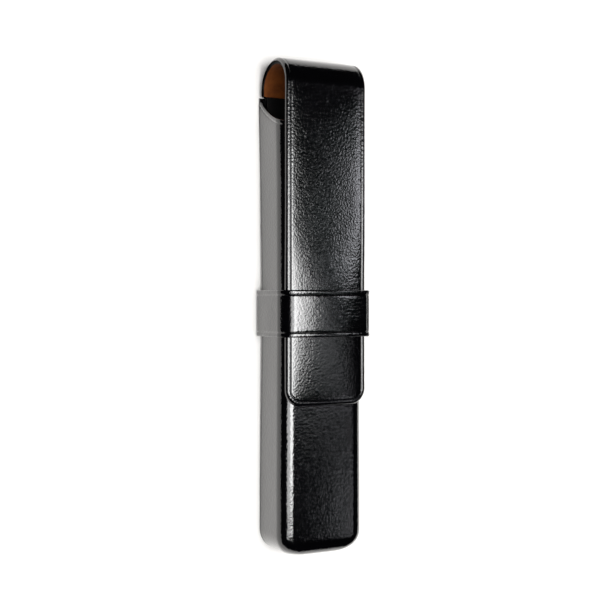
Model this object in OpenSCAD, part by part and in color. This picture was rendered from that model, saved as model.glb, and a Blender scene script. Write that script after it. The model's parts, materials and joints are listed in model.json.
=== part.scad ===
// Moulded leather case for one fountain pen. It lies on its back: +X is across it, +Y runs
// from the closed foot to the mouth, and +Z is out of the front. All sizes are in millimetres.
// The case is a moulded tray glued to a flat back panel. One lined strap comes out of the back,
// arches over the mouth, runs down the front and tucks under a keeper band. The strap is drawn
// as stretches that meet at its bends, so that it can be pulled out of the band and opened.

/* [Case] */
// Length of the closed case, from the foot to the top of the crown
case_l = 157; // [150:0.5:175]
// Width of the body
body_w = 29.4; // [27:0.1:36]
// Depth of the body, from the back face to the front face
body_d = 16.8; // [15:0.1:20]
// Radius of the long front edges
side_edge_r = 4.3; // [2.5:0.1:5]
// Radius of the two corners of the foot, seen from the front
foot_corner_r = 7; // [4:0.1:9]
// Radius of the front edge of the foot
foot_edge_r = 3.5; // [2.5:0.1:5]

/* [Leather] */
// Thickness of the moulded tray
tray_t = 1.2; // [1:0.1:1.5]
// Thickness of the thin black lining
thin_lining_t = 0.5; // [0.3:0.1:0.6]
// Thickness of the back panel
panel_t = 1.1; // [0.8:0.1:1.4]
// Thickness of the strap's outer leather
strap_t = 1.2; // [1:0.1:1.5]
// Thickness of the strap's tan lining
strap_lining_t = 0.8; // [0.5:0.1:1]

/* [Mouth] */
// Height of the mouth at the back, above the foot
mouth_h = 145.5; // [142:0.5:150]
// Radius of the scoop that cuts the mouth
mouth_r = 35; // [30:1:45]
// Slope of the scoop where it meets the front, in degrees
mouth_front_slope = 13; // [8:1:16]

/* [Strap] */
// Width of the strap
strap_w = 28.3; // [24:0.1:28.8]
// Height of the strap's tip above the foot
tip_h = 47.5; // [40:0.5:52]
// Radius of the tip's corners
tip_corner_r = 5.2; // [3:0.1:8]
// Width of the tongue that is glued inside the back
tongue_w = 26.8; // [22:0.1:26.8]
// Length of the glued tongue, below the mouth
tongue_l = 37; // [25:1:45]
// Straight stretch below the crown, before the first bend of the front
shoulder_l = 3.5; // [2:0.1:5]
// Length of the upper and the middle stretch of the front
stretch_l = 29; // [28:0.1:29]

/* [Keeper band] */
// Thickness of the band
band_t = 1.2; // [0.9:0.1:1.4]
// Height of the band's lower edge above the foot
band_low_h = 69; // [66:0.5:70]
// Width of the band along the case
band_l = 14.7; // [12:0.1:15]
// Radius of the band's outer corners at the front
band_front_r = 2.2; // [2.1:0.1:3]
// Radius of the band's outer corners at the back
band_back_r = 1; // [0.5:0.1:1.2]
// Length over which the back draws in towards the band
waist_ramp_l = 45; // [30:1:46]

/* [Clearances] */
// Room between the strap and what it slides on
slide_gap = 0.1; // [0.05:0.01:0.15]
// Gap between two stretches of the strap
bend_gap = 0.04; // [0.02:0.01:0.08]

/* [Hidden] */
$fn = 96;

foot_y = -case_l / 2;
mouth_y = foot_y + mouth_h;
tip_y = foot_y + tip_h;
band_y0 = foot_y + band_low_h;
band_y1 = band_y0 + band_l;

// the layers of the back, counted from its outer face
root_z = panel_t;
back_lining_z = root_z + strap_t;
cavity_z = back_lining_z + thin_lining_t;

// the front of the strap
front_inner_z = body_d + slide_gap;
front_mid_z = front_inner_z + strap_lining_t;
front_outer_z = front_mid_z + strap_t;

// the crown is half a ring whose outer face runs from the back of the strap to its front
crown_r = (front_outer_z - root_z) / 2;
crown_z = root_z + crown_r;
spring_y = case_l / 2 - crown_r;
crown_mid_r = crown_r - strap_t;
crown_inner_r = crown_mid_r - strap_lining_t;
// the crown bends at four lines, at these angles from its back foot
first_bend = 22.5;
bend_step = 45;
gap_angle = bend_gap / 2 / crown_r * 180 / PI;

// the bends of the front, from the crown down
upper_y = spring_y - shoulder_l;
knee_y = upper_y - stretch_l;
tip_bend_y = knee_y - stretch_l;

// the axis of the scoop
scoop_y = mouth_y + sqrt(pow(mouth_r, 2) - pow(mouth_r * sin(mouth_front_slope) + body_d, 2));
scoop_z = body_d + mouth_r * sin(mouth_front_slope);

// the back draws in by the band's thickness, so that band and back are flush
waist = [
    [band_y0 - 1 - waist_ramp_l, 0], [band_y0 - 1, band_t],
    [band_y1 + 1, band_t], [band_y1 + 1 + waist_ramp_l, 0]
];
big = case_l * 2;
snug = 0.02;

// ---- helpers ----

// turns an outline drawn as (y, z) into a solid of width w, centred on x = 0
module across(w) {
    rotate([90, 0, 90]) linear_extrude(w, center = true) children();
}

// a rectangle whose upper corners, or lower corners, have radius r
module rounded_top(x0, x1, y0, y1, r) {
    translate([x0, y0]) square([x1 - x0, y1 - y0 - r]);
    translate([x0 + r, y0]) square([x1 - x0 - 2 * r, y1 - y0]);
    for (x = [x0 + r, x1 - r]) translate([x, y1 - r]) circle(r);
}

module rounded_bottom(x0, x1, y0, y1, r) {
    mirror([0, 1]) rounded_top(x0, x1, -y1, -y0, r);
}

// outline of the body from the front, drawn in by inset
module front_outline(inset) {
    half_w = body_w / 2 - inset;
    rounded_bottom(-half_w, half_w, foot_y + inset, case_l / 2, foot_corner_r - inset);
}

// the body as a full block, drawn in by inset: cross-section, front outline and side outline
module body_block(inset) {
    half_w = body_w / 2 - inset;
    front_z = body_d - inset;
    intersection() {
        rotate([90, 0, 0]) linear_extrude(big, center = true)
            rounded_top(-half_w, half_w, -10, front_z, side_edge_r - inset);
        translate([0, 0, -10]) linear_extrude(big) front_outline(inset);
        across(big) {
            r = foot_edge_r - inset;
            translate([foot_y + inset, -10]) square([big, front_z + 10 - r]);
            translate([foot_y + inset + r, -10]) square([big, front_z + 10]);
            translate([foot_y + inset + r, front_z - r]) circle(r);
        }
    }
}

// a layer that follows the back, between two heights over it and two stations along it
module back_layer(z0, z1, y0, y1, w) {
    stations = concat([y0], [for (p = waist) if (p[0] > y0 && p[0] < y1) p[0]], [y1]);
    lower = [for (y = stations) [y, lookup(y, waist) + z0]];
    upper = [for (i = [len(stations) - 1:-1:0]) [stations[i], lookup(stations[i], waist) + z1]];
    across(w) polygon(concat(lower, upper));
}

// everything of the body above a height over its back and below the scooped mouth
module above_back(z0) {
    difference() {
        back_layer(z0, body_d + 5, foot_y - 5, mouth_y, big);
        translate([0, scoop_y, scoop_z]) rotate([0, 90, 0])
            cylinder(h = big, r = mouth_r, center = true, $fn = 180);
    }
}

// outline of a round end of radius r with straight sides, which run down from the crown
module crown_outline(r) {
    translate([spring_y, crown_z]) circle(r);
    translate([upper_y - 1, crown_z - r]) square([spring_y - upper_y + 1, 2 * r]);
}

// the part of the strap's loop between two radii that lies inside a sector, given by its
// far points as seen from the centre of the crown
module loop_part(r0, r1, sector) {
    across(strap_w) intersection() {
        difference() {
            crown_outline(r1);
            crown_outline(r0);
        }
        polygon(concat([[spring_y, crown_z]], sector));
    }
}

// a point far out from the centre of the crown; the angle starts at its back foot
function ray(angle) = [spring_y + 2 * crown_r * sin(angle), crown_z - 2 * crown_r * cos(angle)];

// one of the crown's stretches; the last one ends in the straight shoulder
module crown_stretch(number, r0, r1) {
    a0 = first_bend + bend_step * (number - 1) + gap_angle;
    a1 = a0 + bend_step - 2 * gap_angle;
    shoulder_y = upper_y + bend_gap / 2;
    sector = number < 4
        ? [ray(a0), ray((a0 + a1) / 2), ray(a1)]
        : [ray(a0), ray(180), [shoulder_y, ray(180)[1]], [shoulder_y, crown_z]];
    loop_part(r0, r1, sector);
}

// the start of the strap's loop, from just over the mouth to the first bend of the crown
module root_stretch(r0, r1) {
    sector = [[mouth_y + snug, crown_z], [mouth_y + snug, ray(0)[1]], ray(0), ray(first_bend - gap_angle)];
    loop_part(r0, r1, sector);
}

// a straight stretch of the front between two bends
module front_stretch(y0, y1, z0, z1) {
    translate([-strap_w / 2, y0 + bend_gap / 2, z0]) cube([strap_w, y1 - y0 - bend_gap, z1 - z0]);
}

// the lowest stretch of the front, with the rounded tip
module tip_stretch(z0, z1) {
    translate([0, 0, z0]) linear_extrude(z1 - z0)
        rounded_bottom(-strap_w / 2, strap_w / 2, tip_y, tip_bend_y - bend_gap / 2, tip_corner_r);
}

// ---- body ----

// the front, the sides and the foot, moulded from one piece
module body_tray() {
    color([0.03, 0.03, 0.035]) intersection() {
        difference() {
            body_block(0);
            body_block(tray_t);
        }
        above_back(panel_t);
    }
}

module tray_lining() {
    color([0.05, 0.05, 0.05]) intersection() {
        difference() {
            body_block(tray_t + snug);
            body_block(tray_t + thin_lining_t);
        }
        above_back(cavity_z);
    }
}

module back_panel() {
    color([0.03, 0.03, 0.035]) intersection() {
        back_layer(0, panel_t, foot_y - 1, mouth_y, big);
        translate([0, 0, -10]) linear_extrude(big) front_outline(0);
    }
}

// leatherboard that fills the back below the strap's tongue
module back_stiffener() {
    color([0.45, 0.38, 0.3]) intersection() {
        back_layer(root_z, back_lining_z, foot_y, mouth_y - tongue_l - slide_gap, tongue_w);
        translate([0, 0, -10]) linear_extrude(big) front_outline(tray_t + snug);
    }
}

// it covers the tongue and the stiffener, up to the line where the tan lining starts
module back_lining() {
    color([0.05, 0.05, 0.05]) intersection() {
        back_layer(back_lining_z, cavity_z, foot_y, mouth_y, tongue_w);
        translate([0, 0, -10]) linear_extrude(big) front_outline(tray_t + snug);
    }
}

module keeper_band() {
    half_w = body_w / 2 + slide_gap;
    inner_r = band_front_r - band_t;
    color([0.03, 0.03, 0.035]) translate([0, band_y1, 0]) rotate([90, 0, 0]) linear_extrude(band_l)
        difference() {
            union() {
                rounded_top(-half_w - band_t, half_w + band_t, crown_z,
                    front_outer_z + slide_gap + band_t, band_front_r);
                rounded_bottom(-half_w - band_t, half_w + band_t, 0, crown_z, band_back_r);
            }
            rounded_top(-half_w, half_w, band_t, front_outer_z + slide_gap, inner_r);
        }
}

// ---- strap ----

// the glued tongue, the step to full width over the mouth, and the start of the crown
module strap_root() {
    color([0.03, 0.03, 0.035]) {
        back_layer(root_z, back_lining_z, mouth_y - tongue_l, mouth_y + 2 * snug, tongue_w);
        root_stretch(crown_mid_r, crown_r);
    }
}

module root_lining() {
    color([0.72, 0.42, 0.16]) root_stretch(crown_inner_r, crown_mid_r);
}

module crown_strap(number) {
    color([0.03, 0.03, 0.035]) crown_stretch(number, crown_mid_r, crown_r);
}

module crown_lining(number) {
    color([0.72, 0.42, 0.16]) crown_stretch(number, crown_inner_r, crown_mid_r);
}

module upper_strap() {
    color([0.03, 0.03, 0.035]) front_stretch(knee_y, upper_y, front_mid_z, front_outer_z);
}

module upper_lining() {
    color([0.72, 0.42, 0.16]) front_stretch(knee_y, upper_y, front_inner_z, front_mid_z);
}

module middle_strap() {
    color([0.03, 0.03, 0.035]) front_stretch(tip_bend_y, knee_y, front_mid_z, front_outer_z);
}

module middle_lining() {
    color([0.72, 0.42, 0.16]) front_stretch(tip_bend_y, knee_y, front_inner_z, front_mid_z);
}

module tip_strap() {
    color([0.03, 0.03, 0.035]) tip_stretch(front_mid_z, front_outer_z);
}

module tip_lining() {
    color([0.72, 0.42, 0.16]) tip_stretch(front_inner_z, front_mid_z);
}

body_tray();
tray_lining();
back_panel();
back_stiffener();
back_lining();
keeper_band();
strap_root();
root_lining();
crown_strap(1);  // crown_strap_1
crown_strap(2);  // crown_strap_2
crown_strap(3);  // crown_strap_3
crown_strap(4);  // crown_strap_4
crown_lining(1);  // crown_lining_1
crown_lining(2);  // crown_lining_2
crown_lining(3);  // crown_lining_3
crown_lining(4);  // crown_lining_4
upper_strap();
upper_lining();
middle_strap();
middle_lining();
tip_strap();
tip_lining();
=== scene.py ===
import json
import math

import bmesh
import bpy
import numpy as np
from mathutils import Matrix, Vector

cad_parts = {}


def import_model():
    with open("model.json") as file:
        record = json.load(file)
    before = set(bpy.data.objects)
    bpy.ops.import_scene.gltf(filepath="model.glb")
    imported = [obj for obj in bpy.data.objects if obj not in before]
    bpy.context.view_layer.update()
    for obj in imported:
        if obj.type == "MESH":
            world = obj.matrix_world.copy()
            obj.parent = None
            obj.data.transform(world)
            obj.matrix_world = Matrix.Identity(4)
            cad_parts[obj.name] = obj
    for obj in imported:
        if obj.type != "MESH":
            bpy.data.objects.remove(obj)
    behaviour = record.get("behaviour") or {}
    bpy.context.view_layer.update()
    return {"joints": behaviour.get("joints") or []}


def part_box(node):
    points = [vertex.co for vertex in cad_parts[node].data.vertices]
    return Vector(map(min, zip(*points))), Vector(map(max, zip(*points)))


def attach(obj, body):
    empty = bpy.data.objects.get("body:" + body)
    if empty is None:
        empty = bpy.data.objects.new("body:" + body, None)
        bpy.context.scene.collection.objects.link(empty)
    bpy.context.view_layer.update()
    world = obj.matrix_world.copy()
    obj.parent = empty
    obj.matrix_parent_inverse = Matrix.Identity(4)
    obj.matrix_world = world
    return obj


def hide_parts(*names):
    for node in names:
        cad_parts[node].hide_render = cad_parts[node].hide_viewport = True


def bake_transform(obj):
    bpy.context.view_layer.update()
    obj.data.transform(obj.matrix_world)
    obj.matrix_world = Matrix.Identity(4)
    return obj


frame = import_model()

# Shapes are worked out in millimetres in the CAD frame: +X across the case, +Y from the foot
# to the mouth, +Z out of the front. MM turns them into metres where a mesh is made.
MM = 0.001
# UV and object coordinates both reach the materials as units of 10 mm
TEXTURE_UNIT_MM = 10.0


def box_mm(node):
    """Lowest and highest corner of a CAD node at rest."""
    low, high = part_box(node)
    return low / MM, high / MM


def hinge_mm(name):
    """A point on a joint's axis."""
    joint = next(j for j in frame["joints"] if j["name"] == name)
    return Vector(joint["pos_m"]) / MM


# ---- measures taken from the CAD frame ----

tray_low, tray_high = box_mm("body_tray")
panel_high = box_mm("back_panel")[1]
lining_high = box_mm("back_lining")[1]
band_low, band_high = box_mm("keeper_band")
tip_low, tip_high = box_mm("tip_strap")
tip_lining_low = box_mm("tip_lining")[0]
root_low = box_mm("strap_root")[0]
crown_high = box_mm("crown_strap_2")[1]

FOOT_Y = tray_low.y
MOUTH_Y = panel_high.y
BODY_HALF_W = tray_high.x
BODY_FRONT_Z = tray_high.z
PANEL_T = root_low.z
STRAP_HALF_W = tip_high.x
STRAP_OUTER_Z = tip_high.z
STRAP_T = tip_high.z - tip_low.z
STRAP_LINING_T = tip_low.z - tip_lining_low.z
TIP_Y = tip_low.y
CROWN_R = (STRAP_OUTER_Z - PANEL_T) / 2
CROWN_Z = PANEL_T + CROWN_R
SPRING_Y = crown_high.y - CROWN_R
TONGUE_HALF_W = lining_high.x
BAND_Y0, BAND_Y1 = band_low.y, band_high.y
BAND_T = 1.2
TRAY_T = 1.2
THIN_LINING_T = 0.5

# ---- shape of the body, as in the CAD ----

SIDE_EDGE_R = 4.3
FOOT_CORNER_R = 7.0
FOOT_EDGE_R = 5.0
MOUTH_R = 35.0
MOUTH_FRONT_SLOPE = math.radians(13)
SCOOP_Z = BODY_FRONT_Z + MOUTH_R * math.sin(MOUTH_FRONT_SLOPE)
SCOOP_Y = MOUTH_Y + math.sqrt(MOUTH_R ** 2 - SCOOP_Z ** 2)
WAIST_RAMP = 45.0  # the back is drawn in over this length, towards a waist a little wider than the band
WAIST_MARGIN = 1.0
WAIST_Y0, WAIST_Y1 = BAND_Y0 - WAIST_MARGIN, BAND_Y1 + WAIST_MARGIN
WAIST_Y = [WAIST_Y0 - WAIST_RAMP, WAIST_Y0, WAIST_Y1, WAIST_Y1 + WAIST_RAMP]
TIP_CORNER_R = 5.2


def waist(y):
    """How far the back is drawn in at station y."""
    return np.interp(y, WAIST_Y, [0.0, BAND_T, BAND_T, 0.0])


# ---- meshes ----

def finish_mesh(name, vertices, faces, uvs=None, sharp_deg=50):
    """A smooth-shaded mesh object from points in millimetres; edges over sharp_deg stay crisp."""
    mesh = bpy.data.meshes.new(name)
    mesh.from_pydata([tuple(v * MM) for v in np.asarray(vertices, float)], [], faces)
    if uvs is not None:
        layer = mesh.uv_layers.new(name="UVMap")
        index = np.zeros(len(mesh.loops), int)
        mesh.loops.foreach_get("vertex_index", index)
        layer.data.foreach_set("uv", (np.asarray(uvs, float)[index] / TEXTURE_UNIT_MM).ravel())
    skin = bmesh.new()
    skin.from_mesh(mesh)
    bmesh.ops.recalc_face_normals(skin, faces=skin.faces)
    skin.to_mesh(mesh)
    skin.free()
    mesh.shade_smooth()
    mesh.set_sharp_from_angle(angle=math.radians(sharp_deg))
    obj = bpy.data.objects.new(name, mesh)
    bpy.context.scene.collection.objects.link(obj)
    return obj


def grid_faces(rows, columns, wrap_rows=False, wrap_columns=False):
    """Quads of a grid whose vertices are numbered row by row."""
    faces = []
    for i in range(rows if wrap_rows else rows - 1):
        for j in range(columns if wrap_columns else columns - 1):
            a = i * columns
            b = (i + 1) % rows * columns
            k = (j + 1) % columns
            faces.append((a + j, a + k, b + k, b + j))
    return faces


def loft(name, loops, uvs=None, closed=False):
    """A closed skin through a row of closed loops, capped at both ends unless it runs round."""
    loops = np.asarray(loops, float)
    rows, columns = loops.shape[:2]
    faces = grid_faces(rows, columns, wrap_rows=closed, wrap_columns=True)
    if not closed:
        faces.append(tuple(range(columns))[::-1])
        faces.append(tuple(range((rows - 1) * columns, rows * columns)))
    flat_uvs = None if uvs is None else np.asarray(uvs, float).reshape(-1, 2)
    return finish_mesh(name, loops.reshape(-1, 3), faces, flat_uvs)


def steps(a, b, spacing):
    """Even steps from a to b, no further apart than the spacing."""
    return np.linspace(a, b, max(2, int(math.ceil(abs(b - a) / spacing)) + 1))


def smooth(t):
    """Rises smoothly from 0 to 1 as t does."""
    t = min(max(t, 0.0), 1.0)
    return t * t * (3 - 2 * t)


def bump(x, centre, width):
    """A smooth bump of height 1."""
    return np.exp(-((np.asarray(x, float) - centre) / width) ** 2)


def rounded_edge(distance, radius):
    """How much a rounded edge takes off a face, at a distance from where the edge ends."""
    inside = min(max(radius - distance, 0.0), radius)
    return radius - math.sqrt(max(radius ** 2 - inside ** 2, 0.0))


# ---- the tray and its lining ----

PINCH = 0.2  # how far each side is drawn in under the band
MOUTH_FLARE, MOUTH_FLARE_L = 0.3, 25.0  # how far each side spreads at the mouth, and over what length
FRONT_CROWN = 0.22  # how much the front falls away towards its long edges
SIDE_POINTS, CORNER_POINTS, FRONT_POINTS = 14, 16, 44
FOOT_TURN = np.linspace(0, math.pi / 2, 15)  # angles of the rows round the foot's corner
ROW_GAP = 1.5  # between rows of the body and the back
RIM_START_Y = 40.0  # past this station the rows run parallel to the mouth's rim
RIM_DEPTHS = np.concatenate([[16, 13, 10.5, 8.5, 7, 6, 5.2], np.arange(4.6, 0.39, -0.14)])
RIM_DROP = 4.0  # the rim's rows take their cross-section this much further from the mouth
# bead, crease and the dip round it: height, distance from the rim, width
RIM_RELIEF = [(0.10, 0.75, 0.4), (-0.16, 1.45, 0.17), (-0.05, 1.6, 0.6)]
LIP_BULGE = 0.36


def foot_drop(y, inset, radius):
    """How much a rounded edge of the foot takes off at station y."""
    return rounded_edge(y - FOOT_Y - inset, radius - inset)


def foot_stations(inset):
    """Stations round the foot's corner, on a skin that lies inset within the outer one."""
    start = FOOT_Y + inset
    return start + (FOOT_CORNER_R - inset) * (1 - np.cos(FOOT_TURN))


def mouth_flare(y):
    """How far the sides spread towards the mouth."""
    return MOUTH_FLARE * smooth((y - MOUTH_Y + MOUTH_FLARE_L) / MOUTH_FLARE_L)


def section(y, inset, back):
    """Points (x, z) and normals of the tray's open section, from its left back edge to its right one."""
    drawn = waist(y) / BAND_T
    half = BODY_HALF_W - inset - PINCH * drawn + mouth_flare(y) - foot_drop(y, inset, FOOT_CORNER_R)
    top = BODY_FRONT_Z - inset - foot_drop(y, inset, FOOT_EDGE_R)
    r = SIDE_EDGE_R - inset
    points, normals = [], []
    for z in np.linspace(back, top - r, SIDE_POINTS, endpoint=False):
        points.append((-half, z))
        normals.append((-1, 0))
    for a in np.linspace(math.pi, math.pi / 2, CORNER_POINTS, endpoint=False):
        points.append((-half + r + r * math.cos(a), top - r + r * math.sin(a)))
        normals.append((math.cos(a), math.sin(a)))
    for x in np.linspace(-half + r, 0, FRONT_POINTS // 2 + 1):
        points.append((x, top))
        normals.append((0, 1))
    points += [(-x, z) for x, z in points[-2::-1]]
    normals += [(-x, z) for x, z in normals[-2::-1]]
    points, normals = np.array(points), np.array(normals, float)
    crowned = np.clip(normals[:, 1], 0, 1) * FRONT_CROWN
    points[:, 1] -= crowned * (points[:, 0] / half) ** 2
    return points, normals


def rim_y(z, depth):
    """Station of the line that runs parallel to the mouth's rim, depth below it."""
    rise = np.clip((SCOOP_Z - z) / MOUTH_R, -0.99, 0.99)
    fall = np.sqrt(1 - rise ** 2)
    return SCOOP_Y - MOUTH_R * fall - depth / fall, fall, rise


def tray_skin(inset, back_height, rim_depth, creased):
    """Rows of points on one skin of the tray, from the foot to the rim of the mouth."""
    rows = []
    corner = foot_stations(inset)
    for y in np.concatenate([corner, steps(corner[-1] + 1, RIM_START_Y, ROW_GAP)]):
        points, _ = section(y, inset, waist(y) + back_height)
        rows.append(np.column_stack([points[:, 0], np.full(len(points), y), points[:, 1]]))
    for depth in RIM_DEPTHS:
        nominal_y = MOUTH_Y - depth - RIM_DROP
        points, normals = section(nominal_y, inset, waist(nominal_y) + back_height)
        y, _, _ = rim_y(points[:, 1], depth + rim_depth)
        if creased:
            raised = sum(height * bump(depth, centre, width) for height, centre, width in RIM_RELIEF)
            points = points + normals * raised
        rows.append(np.column_stack([points[:, 0], y, points[:, 1]]))
    return np.array(rows)


def rim_lip(outer, inner):
    """Rows of points over the rounded lip between the last rows of the two skins."""
    middle = (outer + inner) / 2
    across = (outer - inner) / 2
    _, fall, rise = rim_y(outer[:, 2], 0)
    sideways = np.clip(np.abs(across[:, 0]) / (np.linalg.norm(across, axis=1) + 1e-9), 0, 1)
    along = np.column_stack([np.zeros(len(fall)), fall, rise * sideways ** 2])
    along /= np.linalg.norm(along, axis=1)[:, None]
    angles = np.linspace(0, math.pi, 11)[1:-1]
    return [middle + across * math.cos(a) + along * LIP_BULGE * math.sin(a) ** 0.7 for a in angles]


def back_edge_faces(count, columns, outer_count):
    """Faces along the tray's two long back edges, which join its outer skin to its inner one."""
    faces = []
    for column in (0, columns - 1):
        turn = 1 if column == 0 else -1
        for i in range(outer_count - 1):
            rows = (i, i + 1, count - 2 - i, count - 1 - i)
            faces.append(tuple(row * columns + column for row in rows)[::turn])
        lip_rows = range(outer_count - 1, count - outer_count + 1)
        faces.append(tuple(row * columns + column for row in lip_rows)[::turn])
    return faces


def tray_shell(name, inset, thickness, back_height, rim_depth, creased):
    """An open tray: outer skin, inner skin, a rounded lip at the mouth and plain edges at the back."""
    outer = tray_skin(inset, back_height, rim_depth, creased)
    inner = tray_skin(inset + thickness, back_height, rim_depth, False)
    rows = np.concatenate([outer, rim_lip(outer[-1], inner[-1]), inner[::-1]])
    count, columns = rows.shape[:2]
    last = (count - 1) * columns
    faces = grid_faces(count, columns)
    # the foot is a flat wall, and its back edge joins the two skins
    faces.append(tuple(range(columns))[::-1])
    faces.append(tuple(range(last, last + columns)))
    faces.append((0, columns - 1, last + columns - 1, last))
    faces += back_edge_faces(count, columns, len(outer))
    return finish_mesh(name, rows.reshape(-1, 3), faces, sharp_deg=60)


# ---- flat layers of the back ----

LAYER_END = np.array([0.35, 0.12, 0])  # the last rows, closer together, before a layer's end
# side, face and first angle of each rounded edge
LAYER_EDGES = [(1, -1, -90), (1, 1, 0), (-1, 1, 90), (-1, -1, 180)]


def back_layer(name, levels, end_y, half_w, inset, edge):
    """A flat layer between two levels, with rounded corners at the foot and soft edges."""
    corner = foot_stations(inset)
    stations = np.concatenate([corner, steps(corner[-1] + 1, end_y - 0.6, ROW_GAP), end_y - LAYER_END])
    loops = []
    for y in stations:
        drawn = PINCH * waist(y) / BAND_T
        half = half_w - drawn + mouth_flare(y) - foot_drop(y, inset, FOOT_CORNER_R)
        pull = rounded_edge(min(y - stations[0], stations[-1] - y), edge)
        low = levels[0] + pull + waist(y)
        high = levels[1] - pull + waist(y)
        loop = []
        for side, face, first in LAYER_EDGES:
            x = side * (half - edge)
            z = high - edge if face > 0 else low + edge
            for a in np.radians(np.linspace(first, first + 90, 6)):
                loop.append((x + edge * math.cos(a), y, z + edge * math.sin(a)))
        loops.append(loop)
    return loft(name, loops)


# ---- keeper band ----

BAND_L = BAND_Y1 - BAND_Y0
BAND_LEFT_R, BAND_RIGHT_R, BAND_BACK_R = 4.4, 2.2, 1.6
BAND_ARC, BAND_RISE = 1.8, 0.55  # the band's front is arched, and its middle stands proud by the rise
BAND_LEAN = 0.25  # how far the band's sides lean in towards the front
BAND_FLARE, BAND_INNER_FLARE = 0.14, 0.10  # how far the edges stand off at the sides, outside and inside
BAND_EDGE_R, BAND_INNER_EDGE_R = 0.42, 0.25
BAND_CREASE = 1.5  # distance of the crease from each edge
BAND_SEAM_X, BAND_SEAM_DEPTH, BAND_SEAM_W = 4.0, 0.12, 0.25  # the joint, on the back
BAND_CLEARANCE = 0.05  # gap left between the band's inner face and the arched strap
BAND_CORNER_RELIEF = 0.13  # how much thinner the band is round its corners, where the strap's edges pass
BAND_POINT_GAP = 0.5
# rows from each edge inwards, close together at the rounded edge and at the crease
BAND_ROWS = np.array([0, 0.04, 0.12, 0.25, 0.42, 0.65, 0.9, 1.1, 1.25, 1.35, 1.43, 1.5, 1.57, 1.65,
                      1.75, 1.9, 2.15, 2.6, 3.2, 4.0, 5.0, 6.2])


def corner_point(corner, turned_deg):
    """Point and outward normal on a rounded corner, given as (x, z, radius, first angle)."""
    x, z, radius, first = corner
    a = math.radians(first + turned_deg)
    normal = (math.cos(a), math.sin(a))
    return (x + radius * normal[0], z + radius * normal[1]), normal


def band_path():
    """Points and outward normals round the band, counter-clockwise from the back's middle."""
    right, front = band_high.x, band_high.z
    corners = [
        (right - BAND_BACK_R, BAND_BACK_R, BAND_BACK_R, -90),
        (right - BAND_RIGHT_R, front - BAND_RIGHT_R, BAND_RIGHT_R, 0),
        (BAND_LEFT_R - right, front - BAND_LEFT_R, BAND_LEFT_R, 90),
        (BAND_BACK_R - right, BAND_BACK_R, BAND_BACK_R, 180),
    ]
    points, normals = [], []

    def line(a, b, normal):
        for t in steps(0, 1, BAND_POINT_GAP / math.dist(a, b))[:-1]:
            points.append((a[0] + (b[0] - a[0]) * t, a[1] + (b[1] - a[1]) * t))
            normals.append(normal)

    back_middle = (0, 0)
    line(back_middle, corner_point(corners[0], 0)[0], (0, -1))
    for k, corner in enumerate(corners):
        for turned_deg in np.linspace(0, 90, 13)[:-1]:
            point, normal = corner_point(corner, turned_deg)
            points.append(point)
            normals.append(normal)
        here, normal = corner_point(corner, 90)
        there = corner_point(corners[k + 1], 0)[0] if k < len(corners) - 1 else back_middle
        line(here, there, (round(normal[0]), round(normal[1])))
    return points, normals


def band_lift(x):
    """How far the band's inner face gives way to the arched strap that passes under it."""
    strap_top = STRAP_OUTER_Z + arch(x, front_s((BAND_Y0 + BAND_Y1) / 2))
    return max(strap_top + BAND_CLEARANCE - (band_high.z - BAND_T), 0.0)


def band_height(x, z, nx, nz, d):
    """Height of the band's outer face over its plain outline, at distance d from the nearer edge."""
    side = abs(nx)
    height = -0.16 * bump(d, BAND_CREASE, 0.16) - 0.05 * bump(d, BAND_CREASE, 0.5)
    height -= rounded_edge(d, BAND_EDGE_R)
    height -= BAND_LEAN * side * smooth((z / band_high.z - 0.3) / 0.6)
    height += BAND_FLARE * side * bump(d, 0, 1.0) * (1 - d / BAND_L)
    if nz < -0.5:
        height -= BAND_SEAM_DEPTH * bump(x, BAND_SEAM_X, BAND_SEAM_W)
    if nz > 0:
        height += nz * (BAND_RISE - BAND_ARC * (x / band_high.x) ** 2)
    return float(height)


def band_depth(x, nx, nz, d):
    """Depth of the band's inner face below its plain outline."""
    depth = BAND_T - rounded_edge(d, BAND_INNER_EDGE_R)
    depth -= BAND_INNER_FLARE * abs(nx) * float(bump(d, 0, 1.0))
    return depth - max(nz, 0) * band_lift(x) - 2 * abs(nx * nz) * BAND_CORNER_RELIEF


def keeper_band():
    across = np.concatenate([BAND_ROWS, [BAND_L / 2], BAND_L - BAND_ROWS[::-1]])
    loops = []
    for (x, z), (nx, nz) in zip(*band_path()):
        loop = []
        for y in across:
            height = band_height(x, z, nx, nz, min(y, BAND_L - y))
            outer_z = z + nz * height
            # the back of the band stays above the resting plane
            loop.append((x + nx * height, BAND_Y0 + y, max(outer_z, 0.0) if nz < 0 else outer_z))
        for y in across[::-1]:
            depth = band_depth(x, nx, nz, min(y, BAND_L - y))
            loop.append((x - nx * depth, BAND_Y0 + y, z - nz * depth))
        loops.append(loop)
    return loft("keeper_band_leather", loops, closed=True)


# ---- strap ----

CROWN_ARC = math.pi * CROWN_R
ROOT_STRAIGHT = SPRING_Y - MOUTH_Y
FRONT_START = ROOT_STRAIGHT + CROWN_ARC  # path length where the front begins
STRAP_END = FRONT_START + SPRING_Y - TIP_Y
TONGUE_L = MOUTH_Y - root_low.y
STEP_L = 0.4  # the strap widens from its tongue to its full width over this length, just past the mouth
ROOT_FLARE, ROOT_FLARE_L = 0.8, 22.0  # the strap is a little wider where it leaves the back
LINING_START = 0.02
LINING_INSET = 0.6
LINING_EDGE_R = 0.3
STRAP_CREASE, CREASE_DEPTH, CREASE_W = 1.6, 0.17, 0.16
STRAP_EDGE_R, STRAP_EDGE_DROP = 1.1, 0.85  # the burnished edge is a little flatter than a true round
PANEL_DIP, PANEL_DIP_L = 0.13, 1.3  # how far the panel sinks at the crease, and over what length
BEAD_H = 0.05  # the bead between the crease and the edge
FRONT_RISE, BAND_EXTRA_RISE = 0.12, 0.42  # lift of the front's middle, and what is added at the band
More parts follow.
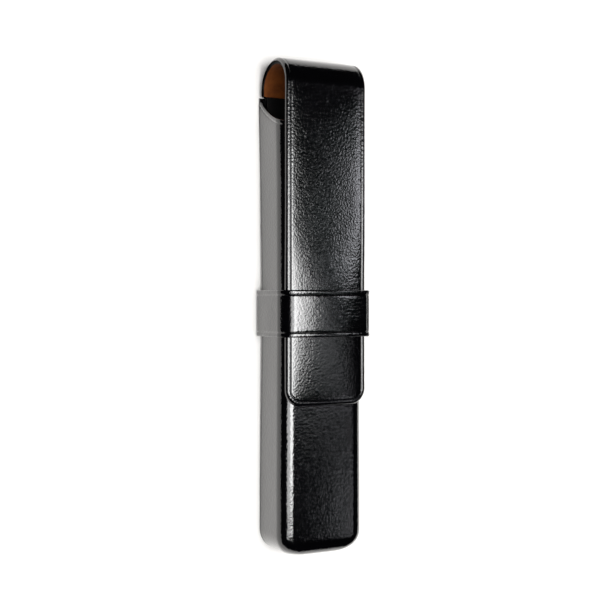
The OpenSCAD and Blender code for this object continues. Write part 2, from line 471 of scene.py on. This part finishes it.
RISE_ABOVE_L, RISE_BELOW_L = 14.0, 25.0  # how far that extra lift reaches past the band's two edges
RISE_START_L = 12.0  # the lift sets in over this length past the crown
RISE_FALL = 1.7  # the lift falls off across the strap, and presses its edges down
STRAP_ROW_GAP, END_PAIR_GAP = 0.32, 0.05
# columns from each edge inwards, close together at the rounded edge and at the crease
EDGE_COLUMNS = np.array([0, 0.03, 0.09, 0.18, 0.3, 0.45, 0.65, 0.85, 1.05, 1.2, 1.32, 1.42, 1.5, 1.56,
                         1.62, 1.68, 1.76, 1.86, 2.0, 2.2, 2.5, 2.9, 3.4, 4.0, 4.7, 5.5, 6.5, 7.7, 9.0,
                         10.5, 12.2])


def front_s(y):
    """Path length of station y on the strap's front."""
    return FRONT_START + SPRING_Y - y


def crown_s(angle):
    """Path length at an angle round the crown, from where it leaves the back."""
    return ROOT_STRAIGHT + math.radians(angle) * CROWN_R


def on_path(s):
    """Point (y, z) on the strap's outer face and its outward normal, at path length s from the mouth."""
    if s < ROOT_STRAIGHT:
        y = MOUTH_Y + s
        return (y, PANEL_T + float(waist(y))), (0.0, -1.0)
    if s > FRONT_START:
        return (SPRING_Y - (s - FRONT_START), STRAP_OUTER_Z), (0.0, 1.0)
    a = (s - ROOT_STRAIGHT) / CROWN_R
    normal = (math.sin(a), -math.cos(a))
    return (SPRING_Y + CROWN_R * normal[0], CROWN_Z + CROWN_R * normal[1]), normal


def strap_half_width(s):
    """Half the strap's width, which narrows round the corners of the tip."""
    if s < STEP_L:
        widest = STRAP_HALF_W + ROOT_FLARE
        return TONGUE_HALF_W + (widest - TONGUE_HALF_W) * math.sqrt(max(s / STEP_L, 0))
    full = STRAP_HALF_W + ROOT_FLARE * (1 - smooth(s / ROOT_FLARE_L))
    return full - rounded_edge(STRAP_END - s, TIP_CORNER_R)


def edge_distance(x, s):
    """Distance from the strap's cut edge, measured square to the edge."""
    # how far the point lies past the tip corner's centre, across the strap and along it
    past_x = abs(x) - (STRAP_HALF_W - TIP_CORNER_R)
    past_s = TIP_CORNER_R - (STRAP_END - s)
    outside = math.hypot(max(past_x, 0), max(past_s, 0))
    return TIP_CORNER_R - outside - min(max(past_x, past_s), 0)


def strap_columns():
    """Stations across the strap as shares of its half width, dense near both edges."""
    left = -1 + EDGE_COLUMNS / STRAP_HALF_W
    return np.concatenate([left, [0.0], -left[::-1]])


def arch(x, s):
    """How far the strap's front is lifted in the middle and pressed down at its edges."""
    if s < FRONT_START:
        return 0.0
    y = SPRING_Y - (s - FRONT_START)
    above = max(y - BAND_Y1, 0)
    below = max(BAND_Y0 - y, 0)
    extra = BAND_EXTRA_RISE * math.exp(-(above / RISE_ABOVE_L) ** 2 - (below / RISE_BELOW_L) ** 2)
    across = 1 - RISE_FALL * (x / STRAP_HALF_W) ** 2
    return smooth((s - FRONT_START) / RISE_START_L) * (FRONT_RISE + extra) * across


def top_height(x, s):
    """Relief of the outer face: burnished edge, bead, crease, and a panel that swells from there."""
    d = max(edge_distance(x, s), 0.0)
    height = -CREASE_DEPTH * float(bump(d, STRAP_CREASE, CREASE_W))
    height -= STRAP_EDGE_DROP * rounded_edge(d, STRAP_EDGE_R)
    if d > STRAP_CREASE:
        return height - PANEL_DIP * math.exp(-(d - STRAP_CREASE) / PANEL_DIP_L)
    return height - PANEL_DIP + BEAD_H * math.sin(math.pi * d / STRAP_CREASE)


def bottom_height(x, s):
    """Relief of the lining's face: only its edge is softened."""
    return rounded_edge(max(edge_distance(x, s), 0.0), LINING_EDGE_R)


def strap_rows(s0, s1):
    """Path lengths of a stretch's rows, with a close pair at each end so that neighbours shade alike."""
    first, last = s0 + END_PAIR_GAP, s1 - END_PAIR_GAP
    inner = steps(first, last, STRAP_ROW_GAP)
    if s0 < 0:
        # the tongue is hidden in the back, so it needs few rows
        tongue = steps(first, 0, 3.0)
        widening = steps(0.02, STEP_L, 0.06)
        inner = np.concatenate([tongue, widening, steps(0.7, last, STRAP_ROW_GAP)])
    if s1 >= STRAP_END - 1e-6:
        corner = STRAP_END - TIP_CORNER_R * (1 - np.cos(np.linspace(math.pi / 2, 0, 30)))
        relief_rows = STRAP_END - np.concatenate([np.arange(0.06, 0.5, 0.09), np.arange(0.55, 2.4, 0.1)])
        inner = np.concatenate([steps(first, corner[0] - 0.3, STRAP_ROW_GAP), corner, relief_rows])
        inner = np.sort(inner)
        inner = inner[np.concatenate([[True], np.diff(inner) > 0.02])]
    return np.concatenate([[s0], inner[inner < s1 - 0.01], [s1]])


def strap_piece(name, s0, s1, lining):
    """One stretch of the strap, as outer leather or as lining, with UVs along the strap."""
    loops, uvs = [], []
    shares = strap_columns()
    upper = -STRAP_T if lining else 0.0
    lower = -STRAP_T - STRAP_LINING_T if lining else -STRAP_T
    for s in strap_rows(s0, s1):
        (y, z), (ny, nz) = on_path(s)
        half = strap_half_width(s) - (LINING_INSET if lining else 0)
        loop, row_uvs = [], []
        for share in shares:
            x = half * share
            h = arch(x, s) + (upper if lining else top_height(x, s))
            loop.append((x, y + ny * h, z + nz * h))
            row_uvs.append((x, s))
        for share in shares[::-1]:
            x = half * share
            h = arch(x, s) + lower + (bottom_height(x, s) if lining else 0.0)
            loop.append((x, y + ny * h, z + nz * h))
            row_uvs.append((x + math.copysign(upper - lower, x), s))
        loops.append(loop)
        uvs.append(row_uvs)
    return loft(name, loops, uvs)


def mark_edges(obj, ends_at_tip):
    """Gives the cut edge the second material: the faces that join the strap's two sides, and its tip."""
    polygons = obj.data.polygons
    columns = 2 * len(strap_columns())
    rows = len(obj.data.vertices) // columns
    for row in range(rows - 1):
        for column in (columns // 2 - 1, columns - 1):
            polygons[row * columns + column].material_index = 1
    if ends_at_tip:
        polygons[(rows - 1) * columns + 1].material_index = 1


# ---- materials ----

def material(name, **socket_values):
    """A node material with the given constants on its principled shader."""
    made = bpy.data.materials.new(name)
    made.use_nodes = True
    shader = made.node_tree.nodes["Principled BSDF"]
    for socket, value in socket_values.items():
        shader.inputs[socket.replace("_", " ")].default_value = value
    return made, made.node_tree, shader


def add(tree, kind, **settings):
    """Adds a node of this kind with these settings."""
    node = tree.nodes.new(kind)
    for key, value in settings.items():
        setattr(node, key, value)
    return node


def coordinates(tree, from_uv):
    """Texture coordinates in units of 10 mm, along the leather or in the case's own frame."""
    source = add(tree, "ShaderNodeTexCoord")
    if from_uv:
        return source.outputs["UV"]
    scaled = add(tree, "ShaderNodeVectorMath", operation="SCALE")
    scaled.inputs["Scale"].default_value = 1 / (TEXTURE_UNIT_MM * MM)
    tree.links.new(source.outputs["Object"], scaled.inputs[0])
    return scaled.outputs[0]


def noise(tree, vector, size_mm, detail, roughness=0.5):
    """A noise texture whose features are about size_mm across."""
    node = add(tree, "ShaderNodeTexNoise")
    node.inputs["Scale"].default_value = TEXTURE_UNIT_MM / size_mm
    node.inputs["Detail"].default_value = detail
    node.inputs["Roughness"].default_value = roughness
    tree.links.new(vector, node.inputs["Vector"])
    return node.outputs["Fac"]


def ramp(tree, value, stops):
    """Colours that follow a value, given as (position, colour) stops."""
    node = add(tree, "ShaderNodeValToRGB")
    elements = node.color_ramp.elements
    for element, (position, colour) in zip(elements, stops):
        element.position = position
        element.color = (*colour, 1.0)
    tree.links.new(value, node.inputs["Fac"])
    return node.outputs["Color"]


def spread(tree, value, low, high):
    """Maps 0..1 to low..high."""
    node = add(tree, "ShaderNodeMapRange")
    node.inputs["To Min"].default_value = low
    node.inputs["To Max"].default_value = high
    tree.links.new(value, node.inputs["Value"])
    return node.outputs["Result"]


def relief(tree, shader, layers):
    """Chains bump layers, given as (height, depth in mm), into the shader's normal."""
    normal = None
    for height, depth_mm in layers:
        node = add(tree, "ShaderNodeBump")
        node.inputs["Strength"].default_value = 1.0
        node.inputs["Distance"].default_value = depth_mm * MM
        tree.links.new(height, node.inputs["Height"])
        if normal is not None:
            tree.links.new(normal, node.inputs["Normal"])
        normal = node.outputs["Normal"]
    tree.links.new(normal, shader.inputs["Normal"])
    if shader.inputs["Coat Weight"].default_value > 0:
        tree.links.new(normal, shader.inputs["Coat Normal"])


def stretched(tree, vector, along):
    """The coordinates pressed together along Y, which draws a pattern out that way."""
    node = add(tree, "ShaderNodeVectorMath", operation="MULTIPLY")
    node.inputs[1].default_value = (1, 1 / along, 1)
    tree.links.new(vector, node.inputs[0])
    return node.outputs[0]


def glossy_leather(name, from_uv):
    """Polished black leather: a fine grain, and a slow waviness that breaks up reflections."""
    made, tree, shader = material(name, IOR=1.5, Coat_Weight=0.8, Coat_Roughness=0.06, Coat_IOR=1.5)
    vector = coordinates(tree, from_uv)
    grain_vector = stretched(tree, vector, 1.2)
    grain = noise(tree, grain_vector, 0.6, 1.5)
    fine = noise(tree, grain_vector, 0.22, 2.0)
    waves = noise(tree, vector, 4.5, 3.0, 0.55)
    patches = noise(tree, vector, 7.0, 4.0, 0.6)
    colour = ramp(tree, patches, [(0.3, (0.0001, 0.0001, 0.0003)), (0.7, (0.0004, 0.0004, 0.0008))])
    tree.links.new(colour, shader.inputs["Base Color"])
    tree.links.new(spread(tree, patches, 0.10, 0.15), shader.inputs["Roughness"])
    relief(tree, shader, [(waves, 0.05), (grain, 0.055), (fine, 0.010)])
    return made


def edge_leather(name):
    """Burnished and dyed cut edge, a little greyer than the grain side."""
    made, tree, shader = material(name, IOR=1.2)
    vector = coordinates(tree, True)
    fibres = noise(tree, vector, 0.5, 4.0, 0.6)
    colour = ramp(tree, fibres, [(0.3, (0.0008, 0.0008, 0.001)), (0.75, (0.0025, 0.0025, 0.0025))])
    tree.links.new(colour, shader.inputs["Base Color"])
    tree.links.new(spread(tree, fibres, 0.35, 0.55), shader.inputs["Roughness"])
    relief(tree, shader, [(fibres, 0.02)])
    return made


def tan_leather(name):
    """Tan lining: matt, lightly napped and uneven in tone."""
    made, tree, shader = material(name, IOR=1.3, Sheen_Weight=0.04, Sheen_Roughness=0.5)
    vector = coordinates(tree, True)
    nap = noise(tree, vector, 0.35, 4.0, 0.65)
    tone = noise(tree, vector, 4.0, 4.0, 0.6)
    mixed = add(tree, "ShaderNodeMath", operation="MULTIPLY_ADD")
    mixed.inputs[1].default_value = 0.35
    tree.links.new(nap, mixed.inputs[0])
    tree.links.new(tone, mixed.inputs[2])
    colour = ramp(tree, mixed.outputs[0], [(0.4, (0.07, 0.017, 0.002)), (0.85, (0.16, 0.044, 0.006))])
    tree.links.new(colour, shader.inputs["Base Color"])
    tree.links.new(spread(tree, nap, 0.7, 0.9), shader.inputs["Roughness"])
    relief(tree, shader, [(nap, 0.04)])
    return made


def black_lining(name):
    """Thin matt black lining leather."""
    made, tree, shader = material(name, IOR=1.25)
    vector = coordinates(tree, False)
    nap = noise(tree, vector, 0.3, 4.0, 0.65)
    colour = ramp(tree, nap, [(0.3, (0.0006, 0.0006, 0.0006)), (0.8, (0.002, 0.002, 0.002))])
    tree.links.new(colour, shader.inputs["Base Color"])
    tree.links.new(spread(tree, nap, 0.75, 0.95), shader.inputs["Roughness"])
    relief(tree, shader, [(nap, 0.03)])
    return made


def leatherboard(name):
    """Plain fibrous board."""
    made, tree, shader = material(name, IOR=1.45)
    vector = coordinates(tree, False)
    fibres = noise(tree, vector, 0.8, 5.0, 0.7)
    colour = ramp(tree, fibres, [(0.3, (0.12, 0.08, 0.05)), (0.75, (0.3, 0.21, 0.13))])
    tree.links.new(colour, shader.inputs["Base Color"])
    tree.links.new(spread(tree, fibres, 0.8, 0.95), shader.inputs["Roughness"])
    relief(tree, shader, [(fibres, 0.05)])
    return made


body_leather = glossy_leather("black_leather_body", False)
strap_leather = glossy_leather("black_leather_strap", True)
strap_edge = edge_leather("black_edge_strap")
tan_lining = tan_leather("tan_lining")
dark_lining = black_lining("black_lining")
board = leatherboard("leatherboard")


# ---- pieces of the body ----

def dress(obj, leather, node):
    """Gives a piece of the case its material, hides the CAD node it stands for and parents it to the
    case's body.
    """
    obj.data.materials.append(leather)
    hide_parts(node)
    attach(obj, "case")


CAVITY_Z = lining_high.z
BACK_LINING_Z = CAVITY_Z - THIN_LINING_T
BOARD_END_Y = box_mm("back_stiffener")[1].y
BACK_INSET = TRAY_T + 0.02  # what lies between the tray's sides is clear of them by a hair
LINING_RIM_DEPTH = 0.25  # the tray's lining ends this far below its rim

tray = tray_shell("moulded_tray", 0, TRAY_T, PANEL_T, rim_depth=0.0, creased=True)
tray_inside = tray_shell("tray_inner_lining", TRAY_T, THIN_LINING_T, CAVITY_Z, LINING_RIM_DEPTH, False)
panel = back_layer("back_panel_leather", (0, PANEL_T), MOUTH_Y, BODY_HALF_W, inset=0, edge=0.32)
inside_z = (BACK_LINING_Z, CAVITY_Z)
panel_inside = back_layer("back_inner_lining", inside_z, MOUTH_Y, TONGUE_HALF_W, BACK_INSET, edge=0.15)
stiffener_z = (PANEL_T, BACK_LINING_Z)
stiffener = back_layer("back_board", stiffener_z, BOARD_END_Y, TONGUE_HALF_W, BACK_INSET, edge=0.2)

dress(tray, body_leather, "body_tray")
dress(tray_inside, dark_lining, "tray_lining")
dress(panel, body_leather, "back_panel")
dress(panel_inside, dark_lining, "back_lining")
dress(stiffener, board, "back_stiffener")
dress(keeper_band(), body_leather, "keeper_band")


# ---- pieces of the strap ----

BODIES = ["case", "crown_1", "crown_2", "crown_3", "crown_4", "flap_upper", "flap_middle", "flap_tip"]
CROWN_BENDS = ["flap_open", "crown_bend_2", "crown_bend_3", "crown_bend_4"]
# each stretch's part of its CAD nodes' names; the last bend before the tip has no nodes of its own
STRETCHES = ["root", "crown_1", "crown_2", "crown_3", "crown_4", "upper", "middle", None, "tip"]
pull_y, knee_y, tip_bend_y = (hinge_mm(name).y for name in ("flap_pull", "flap_knee", "flap_tip_bend"))


def crown_angle(joint):
    """Angle of a bend round the crown, from the crown's back foot."""
    arm = hinge_mm(joint) - Vector((0, SPRING_Y, CROWN_Z))
    return math.degrees(math.atan2(arm.y, -arm.z))


# path length of each bend, and half the length over which it turns; in the crown a bend takes up nearly
# the whole of its stretch, measured on the inner face
CROWN_STRETCH_DEG = 45
CROWN_INNER_R = CROWN_R - STRAP_T - STRAP_LINING_T
crown_reach = 0.97 * CROWN_INNER_R * math.sin(math.radians(CROWN_STRETCH_DEG / 2))
bends = [(crown_s(crown_angle(joint)), crown_reach) for joint in CROWN_BENDS]
bends += [(front_s(pull_y), 3.2), (front_s(knee_y), 7.0), (front_s(tip_bend_y), 2.7)]
# the strap is cut halfway between its bends, and last under the band
cut_stations = [(pull_y + knee_y) / 2, (knee_y + tip_bend_y) / 2, (BAND_Y0 + BAND_Y1) / 2]
cuts = [crown_s(k * CROWN_STRETCH_DEG) for k in range(5)] + [front_s(y) for y in cut_stations]


def node_name(stretch, lining):
    """The CAD node of a stretch, such as crown_strap_1 or upper_lining."""
    layer = "lining" if lining else "strap"
    if stretch == "root":
        return "root_lining" if lining else "strap_root"
    if stretch.startswith("crown"):
        return stretch.replace("_", f"_{layer}_")
    return f"{stretch}_{layer}"


def strap_stretch(index, lining):
    """A stretch between two cuts: 0 is fixed to the case, the last one is the rigid tip."""
    first, last = 0, len(cuts)
    if index == first:
        s0 = LINING_START if lining else -TONGUE_L
    else:
        s0 = cuts[index - 1]
    s1 = STRAP_END if index == last else cuts[index]
    obj = strap_piece(f"{'lining' if lining else 'strap'}_stretch_{index}", s0, s1, lining)
    obj.data.materials.append(tan_lining if lining else strap_leather)
    obj.data.materials.append(strap_edge)
    mark_edges(obj, index == last)
    if STRETCHES[index]:
        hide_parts(node_name(STRETCHES[index], lining))
    if index == first:
        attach(obj, BODIES[0])
    elif index == last:
        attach(obj, BODIES[-1])
    else:
        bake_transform(obj)


for stretch_index in range(len(STRETCHES)):
    strap_stretch(stretch_index, False)
    strap_stretch(stretch_index, True)


# ---- floor, light and camera ----

FLOOR_HALF = 0.5
CAMERA_TURN = math.radians(27)  # the camera stands to the left of straight above
CAMERA_DISTANCE = 0.353
CAMERA_LENS = 66.5
AIM = Vector((-0.00506, 0.0021, 0.010))
SUN_TILT = math.radians(10)
SUN_STRENGTH = 0.7
SUN_ANGLE = math.radians(60)
ROOM_RADIANCE = 0.01
SOFTBOX_DISTANCE = 0.8
WHITE = (1, 1, 1)
COOL = (0.93, 0.94, 1.0)

# name, two angles in degrees from straight above towards +X, two stations in metres, radiance, tint
SOFTBOXES = [
    ("left_softbox", -36, -13, -0.28, 0.16, 5.5, WHITE),
    ("middle_softbox", -13, 9, -0.22, 0.155, 13.5, WHITE),
    ("soft_edge", 9, 17, -0.09, 0.15, 6.5, WHITE),
    ("faint_softbox", 21, 25, -0.09, 0.07, 1.7, COOL),
    ("lower_faint_softbox", 27, 34, -0.10, -0.03, 1.2, COOL),
    ("upper_faint_softbox", 31, 35, 0.06, 0.15, 1.2, COOL),
    ("right_softbox", 35, 42, 0.05, 0.17, 5.5, COOL),
    ("foot_faint_softbox", 32, 36, -0.27, -0.17, 2.2, COOL),
]


def floor():
    """A pale matt sheet."""
    mesh = bpy.data.meshes.new("floor")
    h = FLOOR_HALF
    mesh.from_pydata([(-h, -h, 0), (h, -h, 0), (h, h, 0), (-h, h, 0)], [], [(0, 1, 2, 3)])
    obj = bpy.data.objects.new("floor", mesh)
    bpy.context.scene.collection.objects.link(obj)
    colour = (0.9, 0.885, 0.865, 1)
    made, _, _ = material("floor_paper", Base_Color=colour, Roughness=0.7, Specular_IOR_Level=0.2)
    mesh.materials.append(made)


def even_light():
    """Soft light, tilted towards -X and -Y, that only matt surfaces catch: no reflection shows it."""
    data = bpy.data.lights.new("even_light", "SUN")
    data.energy = SUN_STRENGTH
    data.angle = SUN_ANGLE
    obj = bpy.data.objects.new("even_light", data)
    obj.rotation_euler = (SUN_TILT, -SUN_TILT, 0)
    obj.visible_glossy = False
    bpy.context.scene.collection.objects.link(obj)


def softbox(name, from_deg, to_deg, low_y, high_y, radiance, tint):
    """A long softbox over the case, between two angles from straight above and two stations."""
    middle = math.radians((from_deg + to_deg) / 2)
    half = math.radians((to_deg - from_deg) / 2)
    data = bpy.data.lights.new(name, "AREA")
    data.shape = "RECTANGLE"
    data.size = 2 * SOFTBOX_DISTANCE * math.tan(half)
    data.size_y = high_y - low_y
    data.energy = radiance * math.pi * data.size * data.size_y
    data.color = tint
    obj = bpy.data.objects.new(name, data)
    across, up = SOFTBOX_DISTANCE * math.sin(middle), SOFTBOX_DISTANCE * math.cos(middle)
    obj.location = (across, (low_y + high_y) / 2, up)
    obj.rotation_euler = (0, middle, 0)
    obj.visible_camera = False
    bpy.context.scene.collection.objects.link(obj)


def world(radiance):
    """A dim room, with a pale backdrop where the camera looks past the floor."""
    made = bpy.data.worlds.new("studio")
    made.use_nodes = True
    tree = made.node_tree
    room = tree.nodes["Background"]
    room.inputs["Color"].default_value = (1, 1, 1, 1)
    room.inputs["Strength"].default_value = radiance
    backdrop = add(tree, "ShaderNodeBackground")
    backdrop.inputs["Color"].default_value = (0.9, 0.9, 0.9, 1)
    chosen = add(tree, "ShaderNodeMixShader")
    ray = add(tree, "ShaderNodeLightPath")
    tree.links.new(ray.outputs["Is Camera Ray"], chosen.inputs["Fac"])
    tree.links.new(room.outputs[0], chosen.inputs[1])
    tree.links.new(backdrop.outputs[0], chosen.inputs[2])
    tree.links.new(chosen.outputs[0], tree.nodes["World Output"].inputs["Surface"])
    bpy.context.scene.world = made


def camera():
    """The camera, with the case's length upright in its view."""
    data = bpy.data.cameras.new("camera")
    data.lens = CAMERA_LENS
    data.sensor_width = 36
    data.clip_start = 0.01
    obj = bpy.data.objects.new("camera", data)
    away = Vector((-math.sin(CAMERA_TURN), 0, math.cos(CAMERA_TURN)))
    obj.location = AIM + away * CAMERA_DISTANCE
    obj.rotation_euler = (0, -CAMERA_TURN, 0)
    bpy.context.scene.collection.objects.link(obj)
    bpy.context.scene.camera = obj


floor()
world(ROOM_RADIANCE)
even_light()
for row in SOFTBOXES:
    softbox(*row)
camera()
bpy.context.scene.view_settings.view_transform = "Standard"
